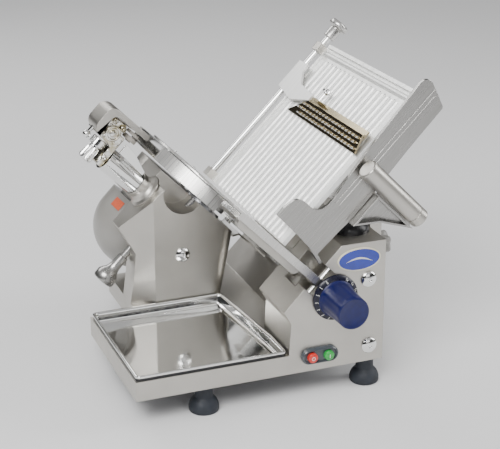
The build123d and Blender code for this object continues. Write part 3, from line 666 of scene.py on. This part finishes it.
def make_knobs():
    low, high = feed_box("rod_knob")
    hub = from_feed((low.x + high.x) / 2, (low.y + high.y) / 2, low.z)
    top = (high.z - low.z) / MM
    head = (high.x - low.x) / 2 / MM
    knob = [(5.6, 0), (9, 0), (10, 1.2), (10, 17.8), (9.4, 19.0), (13, 20.2), (head - 0.8, 22.4),
            (head, 23.8), (head, 28.2), (head - 1.2, 30.2), (head - 3.2, 31.2), (head - 4.4, 31.0),
            (head - 6, 30.4), (6, 32.2), (0, top - 0.3)]
    piece("rod_knob_head", lathe(knob, hub, ALONG), "rod_knob", "brushed_aluminium",
          ("rod_knob",))
    low, high = feed_box("cover_knob")
    hub = from_feed((low.x + high.x) / 2, (low.y + high.y) / 2, low.z)
    long = (high.z - low.z) / MM
    flare = (high.x - low.x) / 2 / MM
    knob = [(0, 0), (flare - 4, 0), (flare - 1.4, 1.0), (flare, 3.6), (flare, 13.8), (flare - 1.2, 16),
            (15, 19.8), (11.4, 24), (9.6, 30), (9, 36), (9, 52.4), (6, 53.6), (6, long), (0, long)]
    piece("release_knob", lathe(knob, hub, ALONG), "cover_knob", "ground_aluminium",
          ("cover_knob",))
    low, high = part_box("clamp_knob")
    hub = Vector((low.x, (low.y + high.y) / 2, (low.z + high.z) / 2))
    out = (high.x - low.x) / MM
    reach = (high.y - low.y) / 2 / MM
    face = (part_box("carriage_post")[1].x - low.x) / MM
    knob = [(4, 0), (4, face + 0.6), (12, face + 0.6), (12.8, face + 1.4), (12.4, face + 3.4),
            (reach - 2, face + 4.8, 1), (reach, face + 6.6, 1), (reach, out - 3.8, 1),
            (reach - 1.6, out - 1.2, 1), (reach - 4.6, out - 0.1, 0.6), (8, out), (6.6, out - 1.4),
            (0, out - 1.4)]
    piece("clamp_knob_head", lathe(knob, hub, Vector((1, 0, 0)), 120, 5, 6.0), "clamp_knob", "motor_paint",
          ("clamp_knob",))
    low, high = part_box("top_cap")
    hub = Vector(((low.x + high.x) / 2, (low.y + high.y) / 2, low.z))
    radius = (high.x - low.x) / 2 / MM
    rise = (high.z - low.z) / MM
    cap = [(radius, 0), (radius, 2)]
    for i in range(1, 9):
        a = math.radians(90 * i / 9)
        cap.append((radius * math.cos(a), 2 + (rise - 2) * math.sin(a)))
    cap.append((0, rise))
    # The dome's near-black is partly its black plastic, partly painted shade and dark reflection.
    piece("top_cap_dome", lathe(cap, hub, Vector((0, 0, 1))), "base", "black_plastic",
          ("top_cap",), smooth=50)


def make_knife():
    low, high = feed_box("knife")
    hub = from_feed((low.x + high.x) / 2, (low.y + high.y) / 2, low.z)
    r = (high.x - low.x) / 2 / MM
    edge = (high.z - low.z) / MM
    blade = [(0, 0), (62, 0), (62.6, 0.2), (112, 2.6), (138, 6.6), (r - 0.8, edge - 0.8), (r, edge - 0.4),
             (r - 0.6, edge), (137, edge - 3.2), (118, edge - 5), (60, edge - 6), (0, edge - 6)]
    piece("knife_blade", lathe(blade, hub, ALONG, 360), "knife", "knife_steel",
          ("knife",), smooth=8)


# ---- sharpener ----------------------------------------------------------------------------------
def drawn(outline, low, high):
    """Prism from (along, square) points, drawn out away from the operator between two places in mm."""
    points = [(p[0], p[1]) for p in outline]
    return prism(points, Vector((0, 0, 0)), ALONG, SQUARE, -high, -low)


def make_sharpener(sizes):
    low, high = (corner / MM for corner in feed_box("sharpener_cover"))
    near, far = low.x, high.x
    base, top = low.y, high.y
    back, front = low.z, high.z
    wall = sizes.cover_wall
    shell = rounded([(back, top - 13.6), (back, top), (front, top), (front, base), (front - wall, base),
                     (front - wall, top - 13.6)], [4, 16, 15, 4, 3, 9], 8)
    piece("sharpener_hood", drawn(shell, near, far - 6), "sharpener_head", "cast_aluminium",
          ("sharpener_cover",), round_by=2.2)
    cheek = rounded([(back + 0.4, base + 29), (back + 0.4, top - 0.4), (front - 0.4, top - 0.4),
                     (front - 0.4, base + 0.4), (front - wall, base + 0.4), (front - wall - 4, base + 29)],
                    [5, 16, 15, 4, 4, 6], 8)
    piece("sharpener_cheek", drawn(cheek, far - 6, far), "sharpener_head", "cast_aluminium",
          round_by=1.4)

    low, high = (corner / MM for corner in feed_box("sharpener_handle"))
    middle_y, middle_s = (low.x + high.x) / 2, (low.y + high.y) / 2
    hub = from_feed(middle_y, middle_s, low.z) * MM
    grip = high.x - middle_y
    length = high.z - low.z
    bar = [(0, 0), (7.4, 0), (grip - 3, 1.4), (grip - 1.4, 3, 0.4), (grip - 0.6, 6, 1), (grip - 1.6, 20, 1),
           (grip - 2.4, 25, 0.6), (grip - 3.4, 27), (grip - 3.4, 28.6), (grip, 29.6), (grip, length - 1),
           (grip - 1, length), (0, length)]
    piece("sharpener_grip", lathe(bar, hub, ALONG, 96, 8, 2.6), "sharpener_head", "polished_steel",
          ("sharpener_handle",))

    low, high = (corner / MM for corner in feed_box("stone_button"))
    middle_s, reach = (low.y + high.y) / 2, (high.x - low.x) / 2
    hub = from_feed((low.x + high.x) / 2, middle_s, low.z) * MM
    ball = [(0, 0)]
    for i in range(1, 12):
        a = math.radians(155 * i / 11)
        ball.append((reach * math.sin(a), reach - reach * math.cos(a)))
    ball += [(3, 2 * reach - 0.2), (3, high.z - low.z), (0, high.z - low.z)]
    piece("stone_button_ball", lathe(ball, hub, ALONG, 48), "stone_button", "polished_steel",
          ("stone_button",))


def make_sharpener_casting():
    """The plated casting under the hood: a stepped core with bosses and webs on its near face."""
    low, high = (corner / MM for corner in feed_box("sharpener_body"))
    near, far = low.x, high.x
    foot, back, front = low.z, low.z + 36.0, high.z
    base, top = high.y - 41.0, high.y
    core = rounded([(foot, base), (foot, base + 11), (back, base + 11), (back + 1, top), (front - 1, top),
                    (front - 1, base + 10), (front - 18, base + 10), (front - 18, base)],
                   [3, 4, 5, 7, 7, 4, 3, 3], 6)
    piece("sharpener_core", drawn(core, near + 5, far), "sharpener_head", "casting_chrome",
          ("sharpener_body",), round_by=1.6)
    bosses = ((back + 17, top - 17, 13.0, 7.0), (back + 7, top - 7, 5.4, 6.0),
              (front - 6, top - 8, 4.6, 5.0), (front - 8, base + 15, 5.0, 6.4),
              (foot + 15, base + 6, 5.2, 5.0))
    outward = Vector((0, -1, 0))
    for k, (f, s, r, rise) in enumerate(bosses):
        shape = [(0, 0), (r, 0), (r, rise - 1), (r - 1, rise), (r * 0.72, rise), (r * 0.66, rise - 1.6),
                 (r * 0.42, rise - 1.6), (r * 0.38, rise + 0.8), (r * 0.2, rise + 1.6), (0, rise + 1.6)]
        hub = from_feed(near + 5.5, s, f) * MM
        piece(f"sharpener_boss_{k + 1}", lathe(shape, hub, outward, 48), "sharpener_head",
              "casting_chrome", round_by=0.3)
    webs = ([(back + 3, top - 30), (back + 6, top - 32), (front - 4, top - 5), (front - 7, top - 3)],
            [(back + 3, top - 6), (back + 6, top - 3), (front - 4, top - 27), (front - 7, top - 30)])
    for k, web in enumerate(webs):
        piece(f"sharpener_web_{k + 1}", drawn(web, near + 1.5, near + 6), "sharpener_head",
              "casting_chrome", round_by=0.8)


def make_pusher_teeth(sizes):
    """Rows of bright pointed teeth on the leaning grip plate."""
    low = feed_box("pusher_plate")[0] / MM
    lean = math.radians(sizes.pusher_lean)
    up = Vector((0, math.cos(lean), math.sin(lean)))
    out = Vector((0, math.sin(lean), -math.cos(lean)))
    plate, pitch, row_step = 3, 11.8, 8.5
    mesh = bmesh.new()
    for row in range(3):
        for i in range(18):
            across = low.x + 7 + pitch * i + (pitch / 2 if row % 2 else 0)
            foot = Vector((across, low.y, low.z + plate * math.cos(lean)))
            add_tooth(mesh, foot + up * (6 + row_step * row) + out * plate, out)
    piece("pusher_teeth", mesh, "pusher", "polished_steel", smooth=20)


def add_tooth(mesh, spot, out):
    """Adds the bright worn point of a tooth in the feed frame; sizes in mm."""
    side = Vector((1, 0, 0))
    other = out.cross(side)
    rings = []
    for r, h in ((1.7, 2.4), (1.3, 4.2), (0.4, 6.3)):
        ring = []
        for k in range(10):
            a = math.tau * k / 10
            place = spot + side * (r * math.cos(a)) + other * (r * math.sin(a)) + out * h
            ring.append(mesh.verts.new(from_feed(place.x, place.y, place.z) * MM))
        rings.append(ring)
    for low, high in zip(rings, rings[1:]):
        join_rings(mesh, low, high)
    mesh.faces.new(rings[0])
    mesh.faces.new(rings[-1])


# ---- motor label --------------------------------------------------------------------------------
def make_motor_label(sizes):
    """Two plain stickers that follow the motor's shell: a bright patch and a pale strip."""
    low, high = feed_box("motor_housing")
    hub = from_feed((low.x + high.x) / 2, (low.y + high.y) / 2, 0)
    radius = (high.x - low.x) / 2 / MM
    start = high.z / MM - sizes.label_from_flange
    dome = high.z / MM - sizes.dome_from_flange
    patches = (("motor_patch", "label_orange", 1.0, 107, 124, 2, 18),
               ("motor_strip", "label_paper", 0.8, 128, 178, -6, 13))
    for name, finish, lift, from_angle, to_angle, near, far in patches:
        mesh = bmesh.new()
        rows = []
        for i in range(17):
            a = math.radians(from_angle + (to_angle - from_angle) * i / 16)
            row = []
            for j in range(9):
                f = start + near + (far - near) * j / 8
                r = shell_radius(radius, dome, f) + lift
                row.append(mesh.verts.new(hub + from_feed(math.cos(a) * r, math.sin(a) * r, f) * MM))
            rows.append(row)
        for a_row, b_row in zip(rows, rows[1:]):
            for j in range(8):
                mesh.faces.new((a_row[j], a_row[j + 1], b_row[j + 1], b_row[j]))
        made = piece(name, mesh, "base", finish, smooth=60)
        thick = made.modifiers.new("paper", "SOLIDIFY")
        thick.thickness = 0.2 * MM
        thick.offset = -1


def shell_radius(radius, dome_start, f):
    """Radius of the motor's domed shell at a place along the feed."""
    if f > dome_start:
        return radius
    return math.sqrt(max(radius ** 2 - (dome_start - f) ** 2, 1.0))


# ---- chute --------------------------------------------------------------------------------------
def make_chute_dots(sizes):
    """Small dark domed discs at the upper ends of the grooves between the ribs; their dark colour is
    painted shadow where the grooves end.
    """
    low, high = (corner / MM for corner in feed_box("chute_floor"))
    pitch = (high.x - low.x - 24) / sizes.rib_count
    mesh = bmesh.new()
    floor = high.y - 5
    for i in range(1, sizes.rib_count):
        spot = from_feed(low.x + 12 + pitch * i, floor, high.z - 27) * MM
        dot = lathe([(0, 0), (1.5, 0), (1.5, 0.3), (1.1, 0.5), (0, 0.35)], spot, SQUARE, 20)
        data = bpy.data.meshes.new("dot")
        dot.to_mesh(data)
        dot.free()
        mesh.from_mesh(data)
        bpy.data.meshes.remove(data)
    # Dark dots: painted shadow at the groove ends.
    piece("chute_shadow_dots", mesh, "carriage", "dark_steel")


# ---- studio -------------------------------------------------------------------------------------
def soft_light(name, place, aim, size, power, tint=(1, 1, 1)):
    lamp = bpy.data.lights.new(name, "AREA")
    lamp.shape = "RECTANGLE"
    lamp.size = size[0]
    lamp.size_y = size[1]
    lamp.energy = power
    lamp.color = tint
    made = bpy.data.objects.new(name, lamp)
    made.location = place
    made.rotation_mode = "QUATERNION"
    made.rotation_quaternion = (Vector(aim) - Vector(place)).to_track_quat("-Z", "Y")
    bpy.context.scene.collection.objects.link(made)
    return made


def make_stage(studio):
    mesh = bmesh.new()
    bmesh.ops.create_grid(mesh, x_segments=8, y_segments=8, size=studio.floor_size)
    data = bpy.data.meshes.new("studio_floor")
    mesh.to_mesh(data)
    mesh.free()
    data.materials.append(floor_paper(tuple(studio.floor_colour)))
    floor = bpy.data.objects.new("studio_floor", data)
    floor.location = (0, 0, CAD_BOX[0].z - 0.0002)
    bpy.context.scene.collection.objects.link(floor)

    world = bpy.data.worlds.new("studio")
    world.use_nodes = True
    back = world.node_tree.nodes["Background"]
    place = world.node_tree.nodes.new("ShaderNodeTexCoord")
    parts = world.node_tree.nodes.new("ShaderNodeSeparateXYZ")
    ramp = world.node_tree.nodes.new("ShaderNodeValToRGB")
    stops = ((0.0, 0.12), (0.2, 0.06), (0.42, 0.22), (0.62, 1.0), (1.0, 0.9))
    while len(ramp.color_ramp.elements) < len(stops):
        ramp.color_ramp.elements.new(0.5)
    for element, (at, grey) in zip(ramp.color_ramp.elements, stops):
        element.position = at
        element.color = (grey, grey, grey * 1.01, 1)
    links = world.node_tree.links
    links.new(place.outputs["Generated"], parts.inputs["Vector"])
    links.new(parts.outputs["Z"], ramp.inputs["Fac"])
    links.new(ramp.outputs["Color"], back.inputs["Color"])
    back.inputs["Strength"].default_value = studio.sky
    bpy.context.scene.world = world

    aim = (0, 0, 0.22)
    soft_light("key", (-1.3, -1.5, 2.1), aim, (1.6, 1.2), studio.key)
    soft_light("front_card", (0.3, -2.6, 0.9), aim, (1.4, 1.0), studio.key * 0.08)
    soft_light("right_fill", (2.2, -0.6, 1.3), aim, (1.0, 1.6), studio.key * 0.4)
    soft_light("back_rim", (-0.6, 2.0, 1.8), aim, (2.0, 0.7), studio.key * 0.3)

    lens = bpy.data.cameras.new("camera")
    lens.sensor_width = 36.0
    lens.lens = studio.lens
    camera = bpy.data.objects.new("camera", lens)
    camera.location = studio.camera_place
    yaw, pitch = studio.camera_yaw, studio.camera_pitch
    look = Vector((math.sin(yaw) * math.cos(pitch), math.cos(yaw) * math.cos(pitch), -math.sin(pitch)))
    camera.rotation_mode = "QUATERNION"
    camera.rotation_quaternion = look.to_track_quat("-Z", "Y")
    bpy.context.scene.collection.objects.link(camera)
    bpy.context.scene.camera = camera


# ---- settings -----------------------------------------------------------------------------------
def colour_setting(name, description, default):
    return bpy.props.FloatVectorProperty(name=name, description=description, default=default,
                                         subtype="COLOR", size=3, min=0.0, max=1.0)


class SlicerLooks(bpy.types.PropertyGroup):
    casting: colour_setting("Casting", "Satin cast aluminium of the base and housing", (0.55, 0.53, 0.49))
    sheet: colour_setting("Sheet", "Brushed aluminium plates", (0.66, 0.65, 0.63))
    chute: colour_setting("Chute", "Anodised chute floor", (0.93, 0.93, 0.91))
    chrome: colour_setting("Chrome", "Polished steel", (0.84, 0.84, 0.83))
    motor: colour_setting("Motor", "Painted motor shell and clamp knob", (0.31, 0.3, 0.28))
    badge: colour_setting("Badge", "Enamel field of the badge", (0.001, 0.022, 0.33))
    dial: colour_setting("Dial", "Thickness knob", (0.003, 0.006, 0.075))
    stop: colour_setting("Stop", "Stop button", (0.7, 0.03, 0.02))
    start: colour_setting("Start", "Start button", (0.02, 0.38, 0.06))
    rubber: colour_setting("Rubber", "Bell feet", (0.018, 0.022, 0.03))
    label: colour_setting("Label", "Plain warning patch on the motor", (0.8, 0.13, 0.05))


class SlicerSizes(bpy.types.PropertyGroup):
    dial_flats: bpy.props.IntProperty(name="Dial flats", description="Flats round the dial's grip",
                                      default=12, min=3, max=48)
    dial_flat_depth: bpy.props.FloatProperty(name="Flat depth", description="Depth of a flat in mm",
                                             default=0.9, min=0.0, max=3.0)
    dial_marks: bpy.props.IntProperty(name="Dial marks", description="Numbered steps on the skirt",
                                      default=15, min=5, max=20)
    foot_radius: bpy.props.FloatProperty(name="Foot radius", description="Bell foot's radius in mm",
                                         default=23.0, min=15.0, max=30.0)
    cap_screw_radius: bpy.props.FloatProperty(name="Cap screw radius", description="Panel screw in mm",
                                              default=13.0, min=8.0, max=16.0)
    cover_wall: bpy.props.FloatProperty(name="Cover wall", description="Sharpener hood's wall in mm",
                                        default=9.0, min=3.0, max=10.0)
    label_from_flange: bpy.props.FloatProperty(name="Label place", description="Label to motor flange, mm",
                                               default=32.0, min=20.0, max=60.0)
    dome_from_flange: bpy.props.FloatProperty(name="Dome", description="Motor flange to dome, mm",
                                              default=31.0, min=10.0, max=60.0)
    pusher_lean: bpy.props.FloatProperty(name="Lean", description="Lean of the toothed plate in degrees",
                                         default=70.0, min=0.0, max=90.0)
    rib_count: bpy.props.IntProperty(name="Ribs", description="Ribs of the chute floor", default=17)
    tray_skew: bpy.props.FloatProperty(name="Tray skew", description="How far the right side leans, mm",
                                       default=16.0, min=0.0, max=30.0)
    tray_bend: bpy.props.FloatProperty(name="Tray bend", description="Where the right side bends, mm",
                                       default=58.5, min=20.0, max=120.0)


class SlicerStudio(bpy.types.PropertyGroup):
    lens: bpy.props.FloatProperty(name="Lens", description="Focal length", default=100.96,
                                  subtype="DISTANCE_CAMERA")
    camera_place: bpy.props.FloatVectorProperty(name="Camera place", description="Camera position",
                                                default=(-0.75055, -1.9367, 1.01067),
                                                subtype="TRANSLATION", unit="LENGTH")
    camera_yaw: bpy.props.FloatProperty(name="Camera yaw", description="Turn to the right of +Y",
                                        default=math.radians(21.45), subtype="ANGLE")
    camera_pitch: bpy.props.FloatProperty(name="Camera pitch", description="Tilt below the horizon",
                                          default=math.radians(20.9), subtype="ANGLE")
    key: bpy.props.FloatProperty(name="Key light", description="Main light", default=78.0,
                                 subtype="POWER")
    sky: bpy.props.FloatProperty(name="Sky", description="Strength of the surrounding light", default=0.6)
    floor_size: bpy.props.FloatProperty(name="Floor", description="Half width of the floor",
                                        default=14.0, unit="LENGTH")
    floor_colour: colour_setting("Floor colour", "Pale paper", (0.84, 0.84, 0.84))


# ---- operators ----------------------------------------------------------------------------------
class SLICER_OT_make_stage(bpy.types.Operator):
    """Make the floor, soft lights and camera."""
    bl_idname = "slicer.make_stage"
    bl_label = "Stage"

    def execute(self, context):
        make_stage(context.scene.slicer_studio)
        return {"FINISHED"}


class SLICER_OT_make_dial(bpy.types.Operator):
    """Make the numbered thickness dial."""
    bl_idname = "slicer.make_dial"
    bl_label = "Dial"

    def execute(self, context):
        make_dial(context.scene.slicer_sizes)
        return {"FINISHED"}


class SLICER_OT_make_switch(bpy.types.Operator):
    """Make the switch boot and its two buttons."""
    bl_idname = "slicer.make_switch"
    bl_label = "Switch"

    def execute(self, context):
        make_switch()
        return {"FINISHED"}


class SLICER_OT_make_badge(bpy.types.Operator):
    """Make the enamelled badge."""
    bl_idname = "slicer.make_badge"
    bl_label = "Badge"

    def execute(self, context):
        make_badge()
        return {"FINISHED"}


class SLICER_OT_make_feet(bpy.types.Operator):
    """Make the rubber bell feet."""
    bl_idname = "slicer.make_feet"
    bl_label = "Feet"

    def execute(self, context):
        make_feet(context.scene.slicer_sizes)
        return {"FINISHED"}


class SLICER_OT_make_screws(bpy.types.Operator):
    """Make the domed screws."""
    bl_idname = "slicer.make_screws"
    bl_label = "Screws"

    def execute(self, context):
        make_screws(context.scene.slicer_sizes)
        return {"FINISHED"}


class SLICER_OT_make_tray(bpy.types.Operator):
    """Make the polished slice tray."""
    bl_idname = "slicer.make_tray"
    bl_label = "Tray"

    def execute(self, context):
        make_tray(context.scene.slicer_sizes)
        return {"FINISHED"}


class SLICER_OT_make_knobs(bpy.types.Operator):
    """Make the turned knobs."""
    bl_idname = "slicer.make_knobs"
    bl_label = "Knobs"

    def execute(self, context):
        make_knobs()
        return {"FINISHED"}


class SLICER_OT_make_knife(bpy.types.Operator):
    """Make the ground round knife."""
    bl_idname = "slicer.make_knife"
    bl_label = "Knife"

    def execute(self, context):
        make_knife()
        return {"FINISHED"}


class SLICER_OT_make_sharpener(bpy.types.Operator):
    """Make the sharpener's hood, grip and button."""
    bl_idname = "slicer.make_sharpener"
    bl_label = "Sharpener"

    def execute(self, context):
        make_sharpener(context.scene.slicer_sizes)
        return {"FINISHED"}


class SLICER_OT_make_sharpener_casting(bpy.types.Operator):
    """Make the plated casting under the hood."""
    bl_idname = "slicer.make_sharpener_casting"
    bl_label = "Sharpener casting"

    def execute(self, context):
        make_sharpener_casting()
        return {"FINISHED"}


class SLICER_OT_make_pusher_teeth(bpy.types.Operator):
    """Make the bright points of the pusher's teeth."""
    bl_idname = "slicer.make_pusher_teeth"
    bl_label = "Pusher teeth"

    def execute(self, context):
        make_pusher_teeth(context.scene.slicer_sizes)
        return {"FINISHED"}


class SLICER_OT_make_motor_label(bpy.types.Operator):
    """Make the plain stickers on the motor."""
    bl_idname = "slicer.make_motor_label"
    bl_label = "Motor label"

    def execute(self, context):
        make_motor_label(context.scene.slicer_sizes)
        return {"FINISHED"}


class SLICER_OT_make_chute_dots(bpy.types.Operator):
    """Make the dark dots at the ribs' ends, painted shadow."""
    bl_idname = "slicer.make_chute_dots"
    bl_label = "Chute shadow dots"

    def execute(self, context):
        make_chute_dots(context.scene.slicer_sizes)
        return {"FINISHED"}


OPERATORS = [
    SLICER_OT_make_stage,
    SLICER_OT_make_dial,
    SLICER_OT_make_switch,
    SLICER_OT_make_badge,
    SLICER_OT_make_feet,
    SLICER_OT_make_screws,
    SLICER_OT_make_tray,
    SLICER_OT_make_knobs,
    SLICER_OT_make_knife,
    SLICER_OT_make_sharpener,
    SLICER_OT_make_sharpener_casting,
    SLICER_OT_make_pusher_teeth,
    SLICER_OT_make_motor_label,
    SLICER_OT_make_chute_dots,
]


class SLICER_OT_dress_nodes(bpy.types.Operator):
    """Give every CAD node its finish."""
    bl_idname = "slicer.dress_nodes"
    bl_label = "Finishes"

    def execute(self, context):
        dress_nodes()
        return {"FINISHED"}


class SLICER_PT_panel(bpy.types.Panel):
    """Lists the slicer's operators."""
    bl_label = "Meat Slicer"
    bl_idname = "SLICER_PT_panel"
    bl_space_type = "VIEW_3D"
    bl_region_type = "UI"
    bl_category = "Slicer"

    def draw(self, context):
        for made in [SLICER_OT_dress_nodes, *OPERATORS]:
            self.layout.operator(made.bl_idname)


CLASSES = [SlicerLooks, SlicerSizes, SlicerStudio, SLICER_OT_dress_nodes, *OPERATORS, SLICER_PT_panel]


def register():
    for made in CLASSES:
        bpy.utils.register_class(made)
    bpy.types.Scene.slicer_looks = bpy.props.PointerProperty(type=SlicerLooks)
    bpy.types.Scene.slicer_sizes = bpy.props.PointerProperty(type=SlicerSizes)
    bpy.types.Scene.slicer_studio = bpy.props.PointerProperty(type=SlicerStudio)


def unregister():
    del bpy.types.Scene.slicer_studio
    del bpy.types.Scene.slicer_sizes
    del bpy.types.Scene.slicer_looks
    for made in reversed(CLASSES):
        bpy.utils.unregister_class(made)


def main():
    register()
    bpy.ops.slicer.dress_nodes()
    for made in OPERATORS:
        group, name = made.bl_idname.split(".")
        getattr(getattr(bpy.ops, group), name)()


if __name__ == "__main__":
    main()
